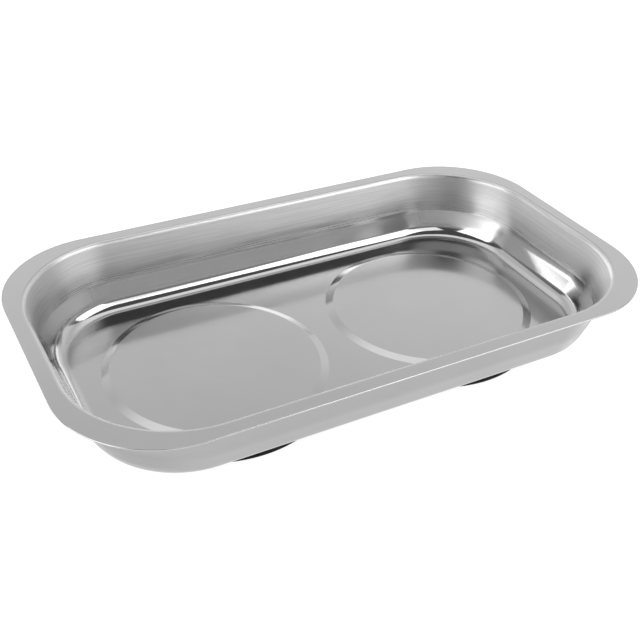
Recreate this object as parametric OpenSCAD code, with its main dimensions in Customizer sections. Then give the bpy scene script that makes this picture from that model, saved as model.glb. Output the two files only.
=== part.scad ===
// Magnetic parts tray: a deep-drawn steel pan that stands on two ring magnets in rubber boots.
// The pan is one sheet, with a flat rim, walls of two slopes and two raised discs in its floor.
// Under each disc hangs a stack: ring magnet, dished backing plate, washer and nut on a welded stud.
// A boot grips the edge of each plate, wraps the magnet and is the tray's foot.
// Millimetres, +Z up, long side along X, origin on the table under the middle of the tray.

/* [Rim] */
// Length over the rim
rim_l = 241.3; // [236:0.1:270]
// Width over the rim
rim_w = 139.7; // [132:0.1:165]
// Corner radius of the rim's cut edge
rim_r = 40; // [32:0.5:44]
// Width of the flat rim along the straight sides
rim_flat = 5.1; // [3:0.1:7]
// Corner radius of the line where the rim starts to bend down
rim_inner_r = 43.7; // [38:0.1:46]

/* [Pan] */
// Thickness of the sheet
sheet_t = 0.6; // [0.4:0.05:1]
// Depth from the top of the rim to the floor
pan_depth = 27.85; // [20:0.05:34]
// Height of the crease between a wall's two slopes, as a share of that depth
crease_share = 0.405; // [0.35:0.005:0.45]
// How far a wall's upper slope leans out, from the crease to the rim
upper_run = 3.95; // [3:0.05:4.5]
// How far its lower slope leans out, from the floor to the crease
lower_run = 4.6; // [4.2:0.05:5.4]
// Radius over the bend from rim to wall
rim_bend_r = 2.2; // [1.2:0.1:4]
// Inside radius of the soft bend at the crease
crease_bend_r = 24; // [6:1:30]
// Inside radius of the bend from wall to floor
base_bend_r = 6.3; // [3:0.1:8]

/* [Raised discs] */
// Height of a raised disc over the floor
disc_rise = 0.85; // [0.4:0.05:1.5]
// Width of the sloped ring round a disc
disc_run = 3.6; // [2.5:0.1:4.5]
// Room from the magnet's edge to the start of that slope
disc_margin = 0.9; // [0.3:0.1:1.5]

/* [Ring magnets] */
// Outside diameter of a magnet
magnet_d = 80; // [64:1:83]
// Diameter of the hole through a magnet
magnet_bore_d = 32; // [29:1:50]
// Thickness of a magnet
magnet_t = 7; // [6:0.1:12]

/* [Backing plates] */
// Thickness of a plate
plate_t = 1.5; // [0.8:0.1:2]
// How far a plate's edge stands out past the magnet, into the boot
plate_lap = 2.5; // [1.5:0.1:4]
// Height of the dish pressed up in a plate's middle
dish_rise = 5; // [4.5:0.1:5.5]
// Diameter over the flat top of the dish
dish_top_d = 24; // [20:0.5:26]
// Room from the foot of the dish to the magnet's hole
dish_margin = 1; // [0.3:0.1:1.5]

/* [Boots] */
// Thickness of the rubber under a plate
boot_floor_t = 2; // [1.6:0.1:4]
// Thickness of a boot's side wall
boot_wall_t = 6.2; // [5:0.1:7]
// Radius round a boot's lower edge
boot_edge_r = 1.2; // [0.5:0.1:2]
// Diameter of the hole that gives a spanner way to the nut
boot_hole_d = 22; // [16:0.5:26]
// Gap between the two boots
boot_gap = 6; // [1:0.5:9]

/* [Fasteners] */
// Diameter of a stud
stud_d = 5; // [4:0.5:6]
// Diameter of the weld flange at a stud's head
stud_flange_d = 6.5; // [6.2:0.1:9]
// Thickness of that weld flange
stud_flange_t = 0.8; // [0.4:0.1:1.5]
// How far a stud stands out under its nut
stud_out = 1; // [0.4:0.1:1.4]
// Outside diameter of a washer
washer_d = 10; // [8:0.5:14]
// Thickness of a washer
washer_t = 1; // [0.5:0.1:1.4]
// Width of a nut across its flats
nut_flats = 8; // [7:0.5:11]
// Height of a nut
nut_h = 4; // [2.5:0.1:4.4]

/* [Clearances] */
// Room round a magnet in its boot
magnet_clear = 0.5; // [0.2:0.1:1]
// Room round a plate's edge in the boot's groove
plate_clear = 0.3; // [0.1:0.1:0.6]
// Room round a stud in the holes of its plate and washer
stud_clear = 0.3; // [0.1:0.05:0.5]
// Room between a stud and the bore of its nut
thread_clear = 0.15; // [0.05:0.05:0.3]

/* [Hidden] */
$fn = 96;

// Steps in the outline of each bend
bend_steps = 12;
// How far a cut runs past what it cuts
overrun = 1;
// Bevel at a stud's tip
stud_bevel = 0.6;
// A nut's chamfer starts at this share of its width across flats, and rises at this angle
nut_face_share = 0.95;
nut_chamfer_angle = 30;

// Directions in a section, in degrees from its outward axis
outward = 0;
up = 90;
inward = 180;
down = -90;

// Heights, from the table up
magnet_z = boot_floor_t + plate_t;
disc_under_z = magnet_z + magnet_t;
floor_under_z = disc_under_z - disc_rise;
rim_z = floor_under_z + sheet_t + pan_depth;
dish_under_z = boot_floor_t + dish_rise;
washer_z = dish_under_z - washer_t;
nut_z = washer_z - nut_h;

// Radii in a magnet's stack
magnet_r = magnet_d / 2;
plate_r = magnet_r + plate_lap;
boot_in_r = magnet_r + magnet_clear;
boot_r = boot_in_r + boot_wall_t;
disc_top_r = magnet_r + disc_margin;
disc_foot_r = disc_top_r + disc_run;
disc_x = boot_r + boot_gap / 2;

// Axis of each corner's sweep, and radii from that axis to the crease and the edge of the flat floor
corner_x = rim_l / 2 - rim_flat - rim_inner_r;
corner_y = rim_w / 2 - rim_flat - rim_inner_r;
crease_h = pan_depth * crease_share;
upper_lean = atan(upper_run / (pan_depth - crease_h));
lower_lean = atan(lower_run / crease_h);
crease_r = rim_inner_r - rim_bend_r * tan((up - upper_lean) / 2) - upper_run;
floor_r = crease_r - lower_run - base_bend_r * tan((up - lower_lean) / 2);

// Points on an arc, from one angle to another
function arc(centre, r, from, to) = [
    for (i = [0:bend_steps])
        let (a = from + (to - from) * i / bend_steps)
        centre + r * [cos(a), sin(a)]
];

// Half section of the pan, from its floor to the start of the flat rim, under a rim top at zero.
// Its first coordinate counts from the corner's axis, and reach carries the floor on past that axis.
function wall_section(reach) =
    let (rim_centre = [rim_inner_r, -rim_bend_r])
    let (base_centre = [floor_r, base_bend_r - pan_depth])
    let (middle_lean = (upper_lean + lower_lean) / 2)
    let (crease_far = crease_bend_r / cos((lower_lean - upper_lean) / 2))
    let (crease = [crease_r, crease_h - pan_depth])
    let (crease_centre = crease + crease_far * [-cos(middle_lean), sin(middle_lean)])
    concat(
        [[-reach, -pan_depth]],
        arc(base_centre, base_bend_r, down, -lower_lean),
        arc(crease_centre, crease_bend_r, -lower_lean, -upper_lean),
        arc(rim_centre, rim_bend_r, inward - upper_lean, up),
        arc(rim_centre, rim_bend_r - sheet_t, up, inward - upper_lean),
        arc(crease_centre, crease_bend_r + sheet_t, -upper_lean, -lower_lean),
        arc(base_centre, base_bend_r + sheet_t, -lower_lean, down),
        [[-reach, -pan_depth - sheet_t]]
    );

// Half section of a raised disc, with two equal bends that meet halfway up its slope
function disc_section() =
    let (turn = 2 * atan(disc_rise / disc_run))
    let (bend_r = (disc_run * disc_run + disc_rise * disc_rise) / (4 * disc_rise))
    let (floor_mid = -pan_depth - sheet_t / 2)
    let (foot_centre = [disc_foot_r, floor_mid + bend_r])
    let (top_centre = [disc_top_r, floor_mid + disc_rise - bend_r])
    concat(
        [[0, disc_rise - pan_depth]],
        arc(top_centre, bend_r + sheet_t / 2, up, up - turn),
        arc(foot_centre, bend_r - sheet_t / 2, down - turn, down),
        arc(foot_centre, bend_r + sheet_t / 2, down, down - turn),
        arc(top_centre, bend_r - sheet_t / 2, up - turn, up),
        [[0, disc_rise - pan_depth - sheet_t]]
    );

// Section of a backing plate: a flat ring, a cone and the flat top of its dish
function plate_section() =
    let (foot_r = magnet_bore_d / 2 - dish_margin)
    let (top_r = dish_top_d / 2)
    let (lean = atan((foot_r - top_r) / dish_rise))
    let (skin = plate_t / cos(lean) - plate_t * tan(lean))
    let (hole_r = stud_d / 2 + stud_clear)
    [
        [plate_r, boot_floor_t],
        [plate_r, magnet_z],
        [foot_r, magnet_z],
        [top_r, magnet_z + dish_rise],
        [hole_r, magnet_z + dish_rise],
        [hole_r, dish_under_z],
        [top_r - skin, dish_under_z],
        [foot_r - skin, boot_floor_t],
    ];

// Section of a boot: floor, groove for the plate's edge, and a wall up to the pan
function boot_section() =
    let (groove_r = plate_r + plate_clear)
    concat(
        [[boot_hole_d / 2, 0]],
        arc([boot_r - boot_edge_r, boot_edge_r], boot_edge_r, down, outward),
        [
            [boot_r, floor_under_z],
            [boot_in_r, floor_under_z],
            [boot_in_r, magnet_z],
            [groove_r, magnet_z],
            [groove_r, boot_floor_t],
            [boot_hole_d / 2, boot_floor_t],
        ]
    );

// One quarter of a rectangle with a round corner, from the middle of the tray out
module quarter_plan(centre, r) {
    translate(centre) {
        intersection() {
            circle(r);
            square(r);
        }
        translate([-centre.x, 0]) square([centre.x, r]);
        translate([0, -centre.y]) square([r, centre.y]);
        translate(-centre) square(centre);
    }
}

// One quarter of the pan, with a plain floor and the rim's top at zero
module pan_quarter() {
    translate([corner_x, corner_y, 0]) {
        rotate_extrude(angle = 90) polygon(wall_section(0));
        rotate([90, 0, 0]) linear_extrude(corner_y) polygon(wall_section(corner_x));
        translate([-corner_x, 0, 0])
            rotate([90, 0, 90]) linear_extrude(corner_x) polygon(wall_section(0));
    }
    translate([0, 0, -sheet_t]) linear_extrude(sheet_t) difference() {
        quarter_plan([rim_l / 2 - rim_r, rim_w / 2 - rim_r], rim_r);
        quarter_plan([corner_x, corner_y], rim_inner_r);
    }
}

// Places a piece under, or in, the disc on one side
module at_disc(side) {
    mirror([side == "left" ? 1 : 0, 0, 0]) translate([disc_x, 0, 0]) children();
}

module tray_pan() {
    color([0.74, 0.75, 0.76]) translate([0, 0, rim_z]) {
        difference() {
            for (flip_x = [0, 1], flip_y = [0, 1])
                mirror([flip_x, 0, 0]) mirror([0, flip_y, 0]) pan_quarter();
            for (side = ["left", "right"])
                at_disc(side) translate([0, 0, -pan_depth - sheet_t - overrun])
                    cylinder(h = sheet_t + 2 * overrun, r = disc_foot_r);
        }
        for (side = ["left", "right"])
            at_disc(side) rotate_extrude() polygon(disc_section());
    }
}

module weld_stud(side) {
    stud_z = nut_z - stud_out;
    stud_r = stud_d / 2;
    flange_z = disc_under_z - stud_flange_t;
    color([0.72, 0.71, 0.68]) at_disc(side) rotate_extrude() polygon([
        [0, stud_z],
        [stud_r - stud_bevel, stud_z],
        [stud_r, stud_z + stud_bevel],
        [stud_r, flange_z],
        [stud_flange_d / 2, flange_z],
        [stud_flange_d / 2, disc_under_z],
        [0, disc_under_z],
    ]);
}

module ring_magnet(side) {
    color([0.2, 0.2, 0.21]) at_disc(side) translate([0, 0, magnet_z]) difference() {
        cylinder(h = magnet_t, r = magnet_r);
        translate([0, 0, -overrun]) cylinder(h = magnet_t + 2 * overrun, r = magnet_bore_d / 2);
    }
}

module back_plate(side) {
    color([0.66, 0.66, 0.62]) at_disc(side) rotate_extrude() polygon(plate_section());
}

module boot(side) {
    color([0.07, 0.07, 0.07]) at_disc(side) rotate_extrude() polygon(boot_section());
}

module washer(side) {
    color([0.7, 0.7, 0.67]) at_disc(side) translate([0, 0, washer_z]) difference() {
        cylinder(h = washer_t, r = washer_d / 2);
        translate([0, 0, -overrun])
            cylinder(h = washer_t + 2 * overrun, r = stud_d / 2 + stud_clear);
    }
}

module nut(side) {
    corner_r = nut_flats / 2 / cos(30);
    face_r = nut_flats * nut_face_share / 2;
    chamfer_h = (corner_r - face_r) * tan(nut_chamfer_angle);
    color([0.68, 0.68, 0.65]) at_disc(side) translate([0, 0, nut_z]) difference() {
        intersection() {
            cylinder(h = nut_h, r = corner_r, $fn = 6);
            rotate_extrude() polygon([
                [0, 0],
                [face_r, 0],
                [corner_r, chamfer_h],
                [corner_r, nut_h - chamfer_h],
                [face_r, nut_h],
                [0, nut_h],
            ]);
        }
        translate([0, 0, -overrun])
            cylinder(h = nut_h + 2 * overrun, r = stud_d / 2 + thread_clear);
    }
}

tray_pan();
weld_stud("left");  // left_weld_stud
weld_stud("right");  // right_weld_stud
ring_magnet("left");  // left_ring_magnet
ring_magnet("right");  // right_ring_magnet
back_plate("left");  // left_back_plate
back_plate("right");  // right_back_plate
boot("left");  // left_boot
boot("right");  // right_boot
washer("left");  // left_washer
washer("right");  // right_washer
nut("left");  // left_nut
nut("right");  // right_nut
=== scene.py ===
from math import acos, asin, atan, atan2, cos, hypot, pi, radians, sin, tan

import bmesh
import bpy
from mathutils import Matrix, Vector


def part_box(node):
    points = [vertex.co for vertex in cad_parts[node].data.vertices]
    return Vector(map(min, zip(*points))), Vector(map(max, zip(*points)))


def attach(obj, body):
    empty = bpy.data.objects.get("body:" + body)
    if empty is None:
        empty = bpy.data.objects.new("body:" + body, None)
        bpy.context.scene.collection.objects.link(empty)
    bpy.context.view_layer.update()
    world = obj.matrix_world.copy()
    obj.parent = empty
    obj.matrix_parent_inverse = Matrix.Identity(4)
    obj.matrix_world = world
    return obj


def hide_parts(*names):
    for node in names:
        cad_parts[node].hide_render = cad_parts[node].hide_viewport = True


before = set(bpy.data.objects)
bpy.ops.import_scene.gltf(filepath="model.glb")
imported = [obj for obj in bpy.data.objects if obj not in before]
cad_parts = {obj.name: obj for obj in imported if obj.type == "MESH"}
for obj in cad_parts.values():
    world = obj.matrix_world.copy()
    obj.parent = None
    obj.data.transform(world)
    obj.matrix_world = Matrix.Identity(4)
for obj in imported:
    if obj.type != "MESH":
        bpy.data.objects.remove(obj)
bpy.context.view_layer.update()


# Camera
# It stands where the photograph was taken: in front of the tray, to its left and above it,
# turned a little about its own line of sight.
view_azimuth = radians(-29.491)
view_elevation = radians(34.337)
view_roll = radians(2.201)
view_distance = 0.35217
view_target = Vector((-0.01837, -0.02598, 0.0381))
photo_width_px = 640
photo_focal_px = 952.2
film_width_mm = 36

view_back = Vector((
    sin(view_azimuth) * cos(view_elevation),
    -cos(view_azimuth) * cos(view_elevation),
    sin(view_elevation),
))
level_right = Vector((cos(view_azimuth), sin(view_azimuth), 0))
level_up = view_back.cross(level_right)
view_right = level_right * cos(view_roll) + level_up * sin(view_roll)
view_up = level_up * cos(view_roll) - level_right * sin(view_roll)

camera_data = bpy.data.cameras.new("camera")
camera_data.sensor_width = film_width_mm
camera_data.lens = film_width_mm * photo_focal_px / photo_width_px
camera_data.clip_start = 0.01
camera = bpy.data.objects.new("camera", camera_data)
camera.matrix_world = (
    Matrix.Translation(view_target + view_back * view_distance)
    @ Matrix((view_right, view_up, view_back)).transposed().to_4x4()
)
bpy.context.scene.collection.objects.link(camera)
bpy.context.scene.camera = camera


# Pan
# One stainless steel sheet, deep drawn to a tray with walls of two slopes, a flat rim and two raised discs.
# The sheet is bright, apart from the inside of the upper walls, which is brushed lengthways, and the cut
# edge of the rim is dressed round.
pan_low, pan_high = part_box("tray_pan")
sheet = 0.0006
pan_depth = pan_high.z - pan_low.z - sheet
crease_share = 0.405
crease_height = crease_share * pan_depth
upper_run = 0.00395
lower_run = 0.0046
upper_lean = atan(upper_run / (pan_depth - crease_height))
lower_lean = atan(lower_run / crease_height)
rim_flat = 0.0051
rim_corner_r = 0.040
rim_edge_r = 0.00025
rim_edge_steps = 6
bend_corner_r = 0.0437
bend_inset = rim_flat + bend_corner_r
rim_bend_r = 0.0022
rim_bend_steps = 16
crease_bend_r = 0.024
crease_bend_steps = 8
base_bend_r = 0.0063
base_bend_steps = 24
crease_out = bend_corner_r - rim_bend_r * tan((pi / 2 - upper_lean) / 2) - upper_run
floor_corner_r = crease_out - lower_run - base_bend_r * tan((pi / 2 - lower_lean) / 2)
short_wall_crease_out = 0.0009
corner_crease_in = 0.0007
corner_steps = 32

rim_top = pan_high.z
wall_top = rim_top - rim_bend_r
floor_top = rim_top - pan_depth
floor_mid = floor_top - sheet / 2
crease_z = floor_top + crease_height
rim_bend_centre = (bend_corner_r, wall_top)
base_bend_centre = (floor_corner_r, floor_top + base_bend_r)
rim_edge_out = rim_corner_r - rim_edge_r

magnet_low, magnet_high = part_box("right_ring_magnet")
magnet_r = (magnet_high.x - magnet_low.x) / 2
disc_x = (magnet_low.x + magnet_high.x) / 2
disc_rise = magnet_high.z - pan_low.z
disc_run = 0.0036
disc_past_magnet = 0.0009
disc_top_r = magnet_r + disc_past_magnet
disc_foot_r = disc_top_r + disc_run
disc_bend_r = 0.0012
disc_bend_up = disc_bend_r - disc_rise / 2
disc_turn = asin(disc_bend_r / hypot(disc_run / 2, disc_bend_up)) - atan2(disc_bend_up, disc_run / 2)
disc_bend_steps = 10
disc_steps = 128


def bend(centre, radius, start, end, facing, steps):
    """Points of a section along an arc, each with its normal: (out, up, normal out, normal up)."""
    points = []
    for i in range(steps + 1):
        a = start + (end - start) * i / steps
        points.append((
            centre[0] + radius * cos(a),
            centre[1] + radius * sin(a),
            facing * cos(a),
            facing * sin(a),
        ))
    return points


def corner_ring(inset):
    """Walks round the pan: the corner axis that each point is swept about, and its direction from it."""
    ring = []
    for quarter in range(4):
        x_side = 1 if quarter in (0, 3) else -1
        y_side = 1 if quarter < 2 else -1
        axis = Vector((x_side * (pan_high.x - inset), y_side * (pan_high.y - inset), 0))
        for i in range(corner_steps + 1):
            a = (quarter + i / corner_steps) * pi / 2
            ring.append((axis, Vector((cos(a), sin(a), 0))))
    return ring


def round_ring(side, steps):
    """Walks round the upright axis of the left (-1) or right (1) disc in equal steps."""
    axis = Vector((side * disc_x, 0, 0))
    turns = [2 * pi * i / steps for i in range(steps)]
    return [(axis, Vector((cos(a), sin(a), 0))) for a in turns]


class Skin:
    """A mesh in the making, with the true normal of each of its points."""

    def __init__(self):
        self.bm = bmesh.new()
        self.normals = []

    def point(self, place, normal):
        self.normals.append(normal.normalized())
        return self.bm.verts.new(place)

    def row(self, ring, station):
        out, up, normal_out, normal_up = station
        rise = Vector((0, 0, 1))
        return [
            self.point(axis + way * out + rise * up, way * normal_out + rise * normal_up)
            for axis, way in ring
        ]

    def join(self, first, second):
        for i in range(len(first)):
            self.bm.faces.new((first[i - 1], first[i], second[i], second[i - 1]))

    def join_all(self, rows):
        for first, second in zip(rows, rows[1:]):
            self.join(first, second)

    def sweep(self, ring, stations):
        rows = [self.row(ring, station) for station in stations]
        self.join_all(rows)
        return rows

    def fill(self, *rows):
        edges = []
        for row in rows:
            for i in range(len(row)):
                pair = (row[i - 1], row[i])
                edges.append(self.bm.edges.get(pair) or self.bm.edges.new(pair))
        bmesh.ops.triangle_fill(self.bm, use_beauty=True, use_dissolve=False, edges=edges)

    def piece(self, name, material, node, slot):
        bmesh.ops.recalc_face_normals(self.bm, faces=self.bm.faces)
        mesh = bpy.data.meshes.new(name)
        self.bm.to_mesh(mesh)
        self.bm.free()
        mesh.shade_smooth()
        mesh.normals_split_custom_set_from_vertices(self.normals)
        mesh.materials.append(material)
        piece = bpy.data.objects.new(name, mesh)
        bpy.context.scene.collection.objects.link(piece)
        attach(piece, "root")
        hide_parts(node)
        return piece


def lean_past(out, up, radius):
    """Lean of a line that runs from a point past a bend, whose centre is so far out and up from it."""
    return acos(radius / hypot(out, up)) - atan2(up, out)


def wall_section(way, face):
    """Stations of the wall's inner (1) or outer (-1) face on the side of the pan that a direction gives.
    The crease stands further out on the short walls, and it fades in the corners."""
    out = crease_out + short_wall_crease_out * way.x ** 2 - corner_crease_in * (2 * way.x * way.y) ** 2
    upper = lean_past(rim_bend_centre[0] - out, rim_bend_centre[1] - crease_z, rim_bend_r)
    lower = lean_past(out - base_bend_centre[0], crease_z - base_bend_centre[1], base_bend_r)
    middle = (upper + lower) / 2
    far = crease_bend_r / cos((lower - upper) / 2)
    crease_centre = (out - far * cos(middle), crease_z + far * sin(middle))
    skin_t = sheet if face < 0 else 0
    stations = (
        bend(base_bend_centre, base_bend_r + skin_t, -pi / 2, -lower, -face, base_bend_steps)
        + bend(crease_centre, crease_bend_r + skin_t, -lower, -upper, -face, crease_bend_steps)
        + bend(rim_bend_centre, rim_bend_r - skin_t, pi - upper, pi / 2, face, rim_bend_steps)
    )
    return stations if face > 0 else stations[::-1]


def wall_rows(skin, ring, face):
    """Sweeps the wall round the pan, and turns its normals with the section where that changes."""
    nudge = 0.01
    columns = []
    for axis, way in ring:
        along = Vector((-way.y, way.x, 0))
        before = wall_section((way - along * nudge).normalized(), face)
        after = wall_section((way + along * nudge).normalized(), face)
        column = []
        for i, (out, up, normal_out, normal_up) in enumerate(wall_section(way, face)):
            swell = (after[i][0] - before[i][0]) / (2 * nudge * out)
            normal = (way - along * swell) * normal_out + Vector((0, 0, normal_up))
            column.append(skin.point(axis + way * out + Vector((0, 0, up)), normal))
        columns.append(column)
    rows = list(zip(*columns))
    skin.join_all(rows)
    return rows


pan = Skin()
bend_ring = corner_ring(bend_inset)
edge_ring = corner_ring(rim_corner_r)
inside = wall_rows(pan, bend_ring, 1)
edge = pan.sweep(edge_ring, (
    bend((rim_edge_out, rim_top - rim_edge_r), rim_edge_r, pi / 2, 0, 1, rim_edge_steps)
    + bend((rim_edge_out, rim_top - sheet + rim_edge_r), rim_edge_r, 0, -pi / 2, 1, rim_edge_steps)
))
outside = wall_rows(pan, bend_ring, -1)
pan.join(inside[-1], edge[0])
pan.join(edge[-1], outside[0])

feet = {1: [], -1: []}
for side in (-1, 1):
    ring = round_ring(side, disc_steps)
    foot_centre = (disc_foot_r, floor_mid + disc_bend_r)
    top_centre = (disc_top_r, floor_mid + disc_rise - disc_bend_r)
    for face in (1, -1):
        half = face * sheet / 2
        slope = pan.sweep(ring, (
            bend(foot_centre, disc_bend_r - half, -pi / 2, -pi / 2 - disc_turn, -face, disc_bend_steps)
            + bend(top_centre, disc_bend_r + half, pi / 2 - disc_turn, pi / 2, face, disc_bend_steps)
        ))
        feet[face].append(slope[0])
        pan.fill(slope[-1])
pan.fill(inside[0], *feet[1])
pan.fill(outside[-1], *feet[-1])


def put(tree, kind, inputs, **settings):
    """Adds a node, and sets or links each of the inputs that are given by name or number."""
    node = tree.nodes.new(kind)
    for name, value in settings.items():
        setattr(node, name, value)
    for name, value in inputs.items():
        if isinstance(value, bpy.types.NodeSocket):
            tree.links.new(value, node.inputs[name])
        else:
            node.inputs[name].default_value = value
    return node.outputs[0]


def ramp(tree, value, low, high, at_low, at_high):
    """Carries a value smoothly from one number to another between two limits."""
    return put(tree, "ShaderNodeMapRange", {
        "Value": value, "From Min": low, "From Max": high, "To Min": at_low, "To Max": at_high,
    }, interpolation_type="SMOOTHSTEP")


def new_material(name, **inputs):
    """A material with its shader's plain values set, and its tree and shader for the rest."""
    material = bpy.data.materials.new(name)
    material.use_nodes = True
    shader = material.node_tree.nodes["Principled BSDF"]
    for socket, value in inputs.items():
        shader.inputs[socket.replace("_", " ")].default_value = value
    return material, material.node_tree, shader


noise_low = 0.3
noise_high = 0.7
mottle = bpy.data.node_groups.new("mottle", "ShaderNodeTree")
for label, first_value in (("Scale", 100), ("Detail", 3), ("Low", 0), ("High", 1)):
    socket = mottle.interface.new_socket(label, in_out="INPUT", socket_type="NodeSocketFloat")
    socket.default_value = first_value
mottle.interface.new_socket("Value", in_out="OUTPUT", socket_type="NodeSocketFloat")
mottle_in = mottle.nodes.new("NodeGroupInput").outputs
mottle_noise = put(mottle, "ShaderNodeTexNoise", {
    "Vector": mottle.nodes.new("ShaderNodeTexCoord").outputs["Object"],
    "Scale": mottle_in["Scale"],
    "Detail": mottle_in["Detail"],
})
mottle_value = ramp(mottle, mottle_noise, noise_low, noise_high, mottle_in["Low"], mottle_in["High"])
mottle.links.new(mottle_value, mottle.nodes.new("NodeGroupOutput").inputs["Value"])


def mottled(tree, scale, detail, low, high):
    """A value that wanders over the surface between two numbers."""
    return put(tree, "ShaderNodeGroup", {
        "Scale": scale, "Detail": detail, "Low": low, "High": high,
    }, node_tree=mottle)


def grey(tree, value):
    """A neutral colour of the given brightness."""
    return put(tree, "ShaderNodeCombineColor", {"Red": value, "Green": value, "Blue": value})


def place_in(tree):
    """Where a point lies on the object, without its signs, as X, Y and Z."""
    return put(tree, "ShaderNodeSeparateXYZ", {
        "Vector": put(tree, "ShaderNodeVectorMath", {
            0: tree.nodes.new("ShaderNodeTexCoord").outputs["Object"],
        }, operation="ABSOLUTE"),
    }).node.outputs


def in_corner(tree, place):
    """One in the corners of the pan and none along its straight walls."""
    return put(tree, "ShaderNodeMath", {
        0: ramp(tree, place["X"], pan_high.x - bend_inset, pan_high.x - bend_inset / 2, 0, 1),
        1: ramp(tree, place["Y"], pan_high.y - bend_inset, pan_high.y - bend_inset / 2, 0, 1),
    }, operation="MULTIPLY")


# The bright sheet is stretched to a satin on the lower slope of the corners, and faces that look down carry
# painted shade: their colour is darker.
bright_steel, bright_tree, bright_shader = new_material("bright_stainless", Metallic=1)
bright_place = place_in(bright_tree)
corner_satin = 0.42
painted_underside_shade = 0.73
underside_tilt = -0.2
base_bend_top = floor_top + base_bend_r
base_bend_mid = floor_top + base_bend_r / 2
upper_wall_mid = (crease_z + rim_top) / 2
lower_slope = put(bright_tree, "ShaderNodeMath", {
    0: ramp(bright_tree, bright_place["Z"], base_bend_mid, base_bend_top, 0, corner_satin),
    1: ramp(bright_tree, bright_place["Z"], crease_z, upper_wall_mid, 1, 0),
}, operation="MULTIPLY")
satin_corner = put(bright_tree, "ShaderNodeMath", {
    0: in_corner(bright_tree, bright_place), 1: lower_slope,
}, operation="MULTIPLY")
bright_tree.links.new(put(bright_tree, "ShaderNodeMath", {
    0: mottled(bright_tree, scale=120, detail=3, low=0.1, high=0.12), 1: satin_corner,
}, operation="ADD"), bright_shader.inputs["Roughness"])
painted_shade_normal = put(bright_tree, "ShaderNodeSeparateXYZ", {
    "Vector": bright_tree.nodes.new("ShaderNodeNewGeometry").outputs["Normal"],
}).node.outputs
# Painted shade: the grey is scaled down on faces whose normal points downwards.
bright_tree.links.new(grey(bright_tree, put(bright_tree, "ShaderNodeMath", {
    0: mottled(bright_tree, scale=45, detail=3, low=0.5, high=0.515),
    1: ramp(bright_tree, painted_shade_normal["Z"], underside_tilt, 0, painted_underside_shade, 1),
}, operation="MULTIPLY")), bright_shader.inputs["Base Color"])

# The brushed walls are smoother towards the crease, and the bend at the rim is smoother again. Their colour
# carries painted shade towards the crease and painted light towards the rim.
brushed_steel, brushed_tree, brushed_shader = new_material("brushed_stainless", Metallic=1, Anisotropic=0.8)
brushed_z = place_in(brushed_tree)["Z"]
brush_scale = (40, 40, 2600)
brush_relief = 0.00001
brush_roughness = 0.03
brush_marks = put(brushed_tree, "ShaderNodeTexNoise", {
    "Vector": put(brushed_tree, "ShaderNodeVectorMath", {
        0: brushed_tree.nodes.new("ShaderNodeTexCoord").outputs["Object"], 1: brush_scale,
    }, operation="MULTIPLY"),
    "Scale": 1,
    "Detail": 4,
})
brushed_tree.links.new(put(brushed_tree, "ShaderNodeMath", {
    0: ramp(brushed_tree, brushed_z, crease_z, wall_top, at_low=0.28, at_high=0.56),
    1: ramp(brushed_tree, brushed_z, wall_top, rim_top, at_low=1, at_high=0.6),
    2: ramp(brushed_tree, brush_marks, noise_low, noise_high, -brush_roughness, brush_roughness),
}, operation="MULTIPLY_ADD"), brushed_shader.inputs["Roughness"])
# Painted shade and painted light: the grain's grey is scaled from 0.88 at the crease up to 1.2 at the top
# of the wall.
brushed_tree.links.new(grey(brushed_tree, put(brushed_tree, "ShaderNodeMath", {
    0: ramp(brushed_tree, brush_marks, noise_low, noise_high, at_low=0.47, at_high=0.56),
    1: ramp(brushed_tree, brushed_z, crease_z, wall_top, at_low=0.88, at_high=1.2),
}, operation="MULTIPLY")), brushed_shader.inputs["Base Color"])
brushed_tree.links.new(put(brushed_tree, "ShaderNodeBump", {
    "Strength": 0.05, "Distance": brush_relief, "Height": brush_marks,
}), brushed_shader.inputs["Normal"])
wall_normal = brushed_tree.nodes.new("ShaderNodeNewGeometry").outputs["Normal"]
along_wall = put(brushed_tree, "ShaderNodeVectorMath", {
    0: wall_normal, 1: (0, 0, 1),
}, operation="CROSS_PRODUCT")
up_wall = put(brushed_tree, "ShaderNodeVectorMath", {
    0: wall_normal, 1: along_wall,
}, operation="CROSS_PRODUCT")
brushed_tree.links.new(up_wall, brushed_shader.inputs["Tangent"])

tray_pan = pan.piece("pan", bright_steel, "tray_pan", "stainless_sheet")
tray_pan.data.materials.append(brushed_steel)
for face in tray_pan.data.polygons:
    faces_in = face.center.x * face.normal.x + face.center.y * face.normal.y < 0
    if faces_in and crease_z < face.center.z < rim_top - rim_edge_r / 2:
        face.material_index = 1


# Weld studs
# A zinc-plated steel stud with a small flange is spot welded under the middle of each disc,
# and its thread carries the magnet's stack.
sides = (("left", -1), ("right", 1))
stud_low, stud_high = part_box("right_weld_stud")
stud_r = 0.0025
stud_flange_t = 0.0008
stud_flange_r = (stud_high.x - stud_low.x) / 2
stud_flange_edge_r = 0.0002
stud_flange_edge_steps = 4
stud_tip_bevel = 0.0006
stud_edge = 0.00005
stud_steps = 48
thread_top = stud_high.z - stud_flange_t
thread_pitch = 0.0008
thread_depth = 0.00042
thread_flat = 1 / 7
thread_rows_per_turn = 10
thread_rows = round((thread_top - stud_low.z) / thread_pitch * thread_rows_per_turn)
half_row = thread_pitch / thread_rows_per_turn / 2


def rounded(corners, steps=6):
    """Stations of a closed section, run counter-clockwise, from corners of (out, up, radius)."""
    stations = []
    for i, (out, up, radius) in enumerate(corners):
        corner = Vector((out, up))
        before = (Vector(corners[i - 1][:2]) - corner).normalized()
        after = (Vector(corners[(i + 1) % len(corners)][:2]) - corner).normalized()
        half = before.angle(after) / 2
        centre = corner + (before + after).normalized() * (radius / sin(half))
        first = corner + before * (radius / tan(half)) - centre
        last = corner + after * (radius / tan(half)) - centre
        start = atan2(first.y, first.x)
        turn = atan2(first.cross(last), first.dot(last))
        stations += bend(centre, radius, start, start + turn, 1 if turn > 0 else -1, steps)
    return stations


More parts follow.
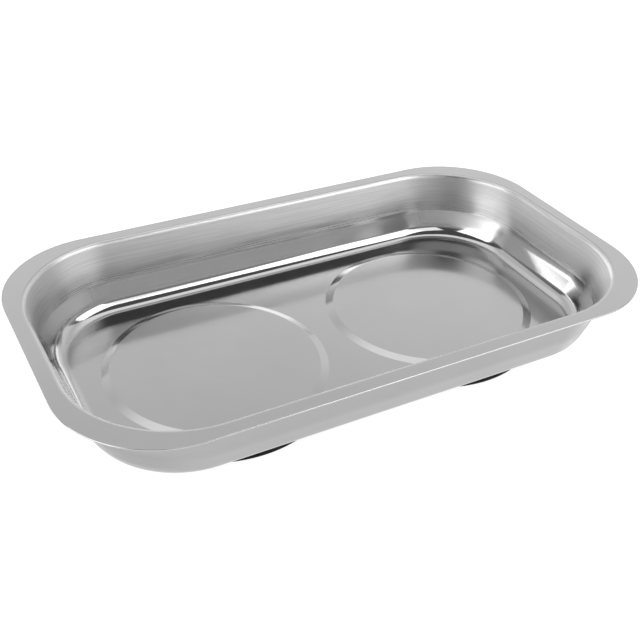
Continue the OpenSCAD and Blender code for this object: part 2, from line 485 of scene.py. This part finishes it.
def turned(side, corners, steps=96):
    """A ring turned about the axis of one disc, from the corners of its section."""
    skin = Skin()
    rows = skin.sweep(round_ring(side, steps), rounded(corners))
    skin.join(rows[-1], rows[0])
    return skin


def thread_r(turn, up):
    """Radius of the stud's thread at a turn round its axis and a height, flat at its root and its crest."""
    phase = (up / thread_pitch - turn) % 1
    flank = (1 - abs(2 * phase - 1) - thread_flat) / (1 - 2 * thread_flat)
    crest = min(max(flank, 0), 1)
    r = stud_r - thread_depth * (1 - crest)
    return min(r, stud_r - stud_tip_bevel + (up - stud_low.z))


zinc, zinc_tree, zinc_shader = new_material("zinc_plating", Metallic=1)
zinc_grey = mottled(zinc_tree, scale=900, detail=3, low=0.56, high=0.64)
zinc_tree.links.new(put(zinc_tree, "ShaderNodeCombineColor", {
    "Red": zinc_grey,
    "Green": zinc_grey,
    "Blue": mottled(zinc_tree, scale=900, detail=3, low=0.52, high=0.6),
}), zinc_shader.inputs["Base Color"])
zinc_dullness = mottled(zinc_tree, scale=400, detail=4, low=0.24, high=0.42)
zinc_tree.links.new(zinc_dullness, zinc_shader.inputs["Roughness"])
zinc_relief = 0.00001
zinc_tree.links.new(put(zinc_tree, "ShaderNodeBump", {
    "Strength": 0.5,
    "Distance": zinc_relief,
    "Height": mottled(zinc_tree, scale=3000, detail=2, low=0, high=1),
}), zinc_shader.inputs["Normal"])

for name, side in sides:
    stud = Skin()
    ring = round_ring(side, stud_steps)
    rows = []
    for k in range(thread_rows + 1):
        up = stud_low.z + (thread_top - stud_low.z) * k / thread_rows
        row = []
        for i, (axis, way) in enumerate(ring):
            turn = i / stud_steps
            slope = (thread_r(turn, up + half_row) - thread_r(turn, up - half_row)) / (2 * half_row)
            place = axis + way * thread_r(turn, up) + Vector((0, 0, up))
            row.append(stud.point(place, way - Vector((0, 0, slope))))
        rows.append(row)
    stud.join_all(rows)
    tip = stud.row(ring, (stud_r - stud_tip_bevel - stud_edge, stud_low.z, 0, -1))
    stud.join(tip, rows[0])
    stud.fill(tip)
    edge_out = stud_flange_r - stud_flange_edge_r
    edge_low = (edge_out, thread_top + stud_flange_edge_r)
    edge_high = (edge_out, stud_high.z - stud_flange_edge_r)
    flange = stud.sweep(ring, (
        bend(edge_low, stud_flange_edge_r, -pi / 2, 0, 1, stud_flange_edge_steps)
        + bend(edge_high, stud_flange_edge_r, 0, pi / 2, 1, stud_flange_edge_steps)
    ))
    collar = stud.row(ring, (stud_r + stud_edge, thread_top, 0, -1))
    stud.join(rows[-1], collar)
    stud.join(collar, flange[0])
    stud.fill(flange[-1])
    stud.piece(name + "_stud", zinc, name + "_weld_stud", "plated_steel")


# Ring magnets
# A ring of pressed and fired ferrite, ground flat on both faces, bears on the underside of each disc.
# The back plate clamps it there, and its hole leaves room for the stud, the dish and the nut.
magnet_bore_r = 0.016
magnet_edge_r = 0.0005
ferrite, ferrite_tree, ferrite_shader = new_material("ferrite", Metallic=0)
ferrite_grey = mottled(ferrite_tree, scale=500, detail=5, low=0.02, high=0.04)
ferrite_tree.links.new(put(ferrite_tree, "ShaderNodeCombineColor", {
    "Red": ferrite_grey,
    "Green": ferrite_grey,
    "Blue": mottled(ferrite_tree, scale=500, detail=5, low=0.022, high=0.044),
}), ferrite_shader.inputs["Base Color"])
ferrite_dullness = mottled(ferrite_tree, scale=700, detail=4, low=0.45, high=0.7)
ferrite_tree.links.new(ferrite_dullness, ferrite_shader.inputs["Roughness"])
ferrite_relief = 0.00003
ferrite_tree.links.new(put(ferrite_tree, "ShaderNodeBump", {
    "Strength": 0.6,
    "Distance": ferrite_relief,
    "Height": mottled(ferrite_tree, scale=2500, detail=4, low=0, high=1),
}), ferrite_shader.inputs["Normal"])
for name, side in sides:
    magnet = turned(side, (
        (magnet_bore_r, magnet_low.z, magnet_edge_r),
        (magnet_r, magnet_low.z, magnet_edge_r),
        (magnet_r, magnet_high.z, magnet_edge_r),
        (magnet_bore_r, magnet_high.z, magnet_edge_r),
    ))
    magnet.piece(name + "_magnet", ferrite, name + "_ring_magnet", "ferrite")


# Back plates
# A zinc-plated steel disc backs each magnet. Its middle is pressed up into a dish that reaches
# into the magnet's hole, so that the nut stays clear of the table.
plate_low, plate_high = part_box("right_back_plate")
plate_t = 0.0015
plate_r = (plate_high.x - plate_low.x) / 2
plate_edge_r = 0.0003
dish_foot_r = 0.015
dish_top_r = 0.012
dish_bend_r = 0.0006
stud_hole_r = 0.0028
dish_rise = plate_high.z - plate_low.z - plate_t
dish_lean = atan((dish_foot_r - dish_top_r) / dish_rise)
dish_skin = plate_t / cos(dish_lean) - plate_t * tan(dish_lean)
for name, side in sides:
    plate = turned(side, (
        (dish_foot_r - dish_skin, plate_low.z, dish_bend_r + plate_t),
        (plate_r, plate_low.z, plate_edge_r),
        (plate_r, plate_low.z + plate_t, plate_edge_r),
        (dish_foot_r, plate_low.z + plate_t, dish_bend_r),
        (dish_top_r, plate_high.z, dish_bend_r + plate_t),
        (stud_hole_r, plate_high.z, plate_edge_r),
        (stud_hole_r, plate_high.z - plate_t, plate_edge_r),
        (dish_top_r - dish_skin, plate_high.z - plate_t, dish_bend_r),
    ))
    plate.piece(name + "_plate", zinc, name + "_back_plate", "zinc_plate")


# Rubber boots
# Moulded in black rubber and stretched over the edge of the back plate, which sits in a groove
# inside. A boot wraps its magnet, cushions the pan and is the tray's foot.
boot_low, boot_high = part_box("right_boot")
boot_r = (boot_high.x - boot_low.x) / 2
magnet_clearance = 0.0005
plate_clearance = 0.0003
boot_in_r = magnet_r + magnet_clearance
boot_groove_r = plate_r + plate_clearance
boot_hole_r = 0.011
boot_edge_r = 0.002
boot_lip_r = 0.0005
boot_groove_edge_r = 0.0002
seam_z = 0.0052
seam_half = 0.0003
seam_out = 0.0001
rubber, rubber_tree, rubber_shader = new_material("boot_rubber", Metallic=0, Specular_IOR_Level=0.1)
rubber_grey = mottled(rubber_tree, scale=220, detail=5, low=0.003, high=0.006)
rubber_tree.links.new(grey(rubber_tree, rubber_grey), rubber_shader.inputs["Base Color"])
rubber_dullness = mottled(rubber_tree, scale=350, detail=4, low=0.45, high=0.68)
rubber_tree.links.new(rubber_dullness, rubber_shader.inputs["Roughness"])
rubber_relief = 0.00002
rubber_tree.links.new(put(rubber_tree, "ShaderNodeBump", {
    "Strength": 0.5,
    "Distance": rubber_relief,
    "Height": mottled(rubber_tree, scale=4500, detail=2, low=0, high=1),
}), rubber_shader.inputs["Normal"])
for name, side in sides:
    boot = turned(side, (
        (boot_hole_r, boot_low.z, boot_lip_r),
        (boot_r - seam_out, boot_low.z, boot_edge_r),
        (boot_r - seam_out, seam_z - seam_half, seam_out),
        (boot_r, seam_z, seam_out),
        (boot_r - seam_out, seam_z + seam_half, seam_out),
        (boot_r - seam_out, boot_high.z, boot_lip_r),
        (boot_in_r, boot_high.z, boot_lip_r),
        (boot_in_r, plate_low.z + plate_t, boot_groove_edge_r),
        (boot_groove_r, plate_low.z + plate_t, boot_groove_edge_r),
        (boot_groove_r, plate_low.z, boot_groove_edge_r),
        (boot_hole_r, plate_low.z, boot_lip_r),
    ), steps=160)
    boot.piece(name + "_rubber_boot", rubber, name + "_boot", "black_rubber")


# Washers
# A flat zinc-plated steel washer, stamped from sheet, lies on each stud between the nut and the dish,
# and spreads the nut's pull.
washer_low, washer_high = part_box("right_washer")
washer_r = (washer_high.x - washer_low.x) / 2
washer_edge_r = 0.00025
for name, side in sides:
    washer = turned(side, (
        (stud_hole_r, washer_low.z, washer_edge_r),
        (washer_r, washer_low.z, washer_edge_r),
        (washer_r, washer_high.z, washer_edge_r),
        (stud_hole_r, washer_high.z, washer_edge_r),
    ), steps=64)
    washer.piece(name + "_flat_washer", zinc, name + "_washer", "plated_steel")


# Nuts
# A zinc-plated steel hexagon nut on each stud, tightened from below through the hole in the boot,
# pulls the plate, the magnet and the pan together.
for name, _ in sides:
    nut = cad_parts[name + "_nut"]
    nut.data.materials.clear()
    nut.data.materials.append(zinc)


# Floor
# A wide sheet of white paper on a light table, which the tray stands on. It glows evenly, so that the
# ground stays plain and pale all round.
floor_half = 4
paper_grey = 0.3
floor_mesh = bpy.data.meshes.new("floor")
floor_mesh.from_pydata([
    (-floor_half, -floor_half, 0),
    (floor_half, -floor_half, 0),
    (floor_half, floor_half, 0),
    (-floor_half, floor_half, 0),
], [], [(0, 1, 2, 3)])
floor = bpy.data.objects.new("floor", floor_mesh)
bpy.context.scene.collection.objects.link(floor)
paper, *_ = new_material(
    "floor_paper", Base_Color=(paper_grey, paper_grey, paper_grey, 1), Roughness=0.9,
    Emission_Color=(1, 1, 1, 1), Emission_Strength=0.9,
)
floor.data.materials.append(paper)


# Studio light
# Softboxes stand at the tray's left, at its right and in front of it, and a low strip stands behind it.
# A white sweep behind the tray fills the mirror of the steel, and the room on the camera's side is dim.
softbox_distance = 1.6
sweep_middle = radians(26)
sweep_edge = radians(66)
sweep_end = radians(71)


def toward(azimuth, elevation):
    """Direction from the tray, with azimuth 0 behind it and 90 at its right."""
    return Vector((
        sin(radians(azimuth)) * cos(radians(elevation)),
        cos(radians(azimuth)) * cos(radians(elevation)),
        sin(radians(elevation)),
    ))


def softbox(name, azimuth, elevation, wide, high, radiance):
    """A flat lit panel that faces the tray and spans the given angles as seen from it."""
    panel = bpy.data.lights.new(name, "AREA")
    panel.shape = "RECTANGLE"
    panel.size = 2 * softbox_distance * tan(radians(wide / 2))
    panel.size_y = 2 * softbox_distance * tan(radians(high / 2))
    panel.energy = radiance * pi * panel.size * panel.size_y
    lamp = bpy.data.objects.new(name, panel)
    way = toward(azimuth, elevation)
    lamp.location = way * softbox_distance
    lamp.rotation_euler = way.to_track_quat("Z", "Y").to_euler()
    lamp.visible_camera = False
    bpy.context.scene.collection.objects.link(lamp)


softbox("left_softbox", azimuth=-92, elevation=31, wide=46, high=44, radiance=2.8)
softbox("right_softbox", azimuth=129, elevation=40, wide=42, high=34, radiance=3.0)
softbox("low_strip", azimuth=-24, elevation=9, wide=76, high=13, radiance=2.8)
softbox("front_softbox", azimuth=172, elevation=45, wide=44, high=26, radiance=1.5)

# The sweep fades a little with height and brightens again overhead, and the room darkens upwards.
world = bpy.data.worlds.new("studio")
world.use_nodes = True
sweep = world.node_tree
ray = put(sweep, "ShaderNodeSeparateXYZ", {
    "Vector": sweep.nodes.new("ShaderNodeTexCoord").outputs["Generated"],
}).node.outputs
ray_azimuth = put(sweep, "ShaderNodeMath", {0: ray["X"], 1: ray["Y"]}, operation="ARCTAN2")
off_middle = put(sweep, "ShaderNodeMath", {
    0: put(sweep, "ShaderNodeMath", {0: ray_azimuth, 1: sweep_middle}, operation="SUBTRACT"),
}, operation="ABSOLUTE")
behind = ramp(sweep, off_middle, sweep_edge, sweep_end, at_low=1, at_high=0)
room = ramp(sweep, ray["Z"], low=0.1, high=0.6, at_low=0.58, at_high=0.1)
glow = put(sweep, "ShaderNodeMath", {
    0: ramp(sweep, ray["Z"], low=0.46, high=0.68, at_low=1, at_high=0.78),
    1: ramp(sweep, ray["Z"], low=0.68, high=0.88, at_low=0, at_high=0.5),
}, operation="ADD")
shine = put(sweep, "ShaderNodeMix", {"Factor": behind, "A": room, "B": glow})
sweep.links.new(shine, sweep.nodes["Background"].inputs["Strength"])
sweep.nodes["Background"].inputs["Color"].default_value = (1, 1, 1, 1)
bpy.context.scene.world = world
bpy.context.scene.view_settings.view_transform = "Standard"
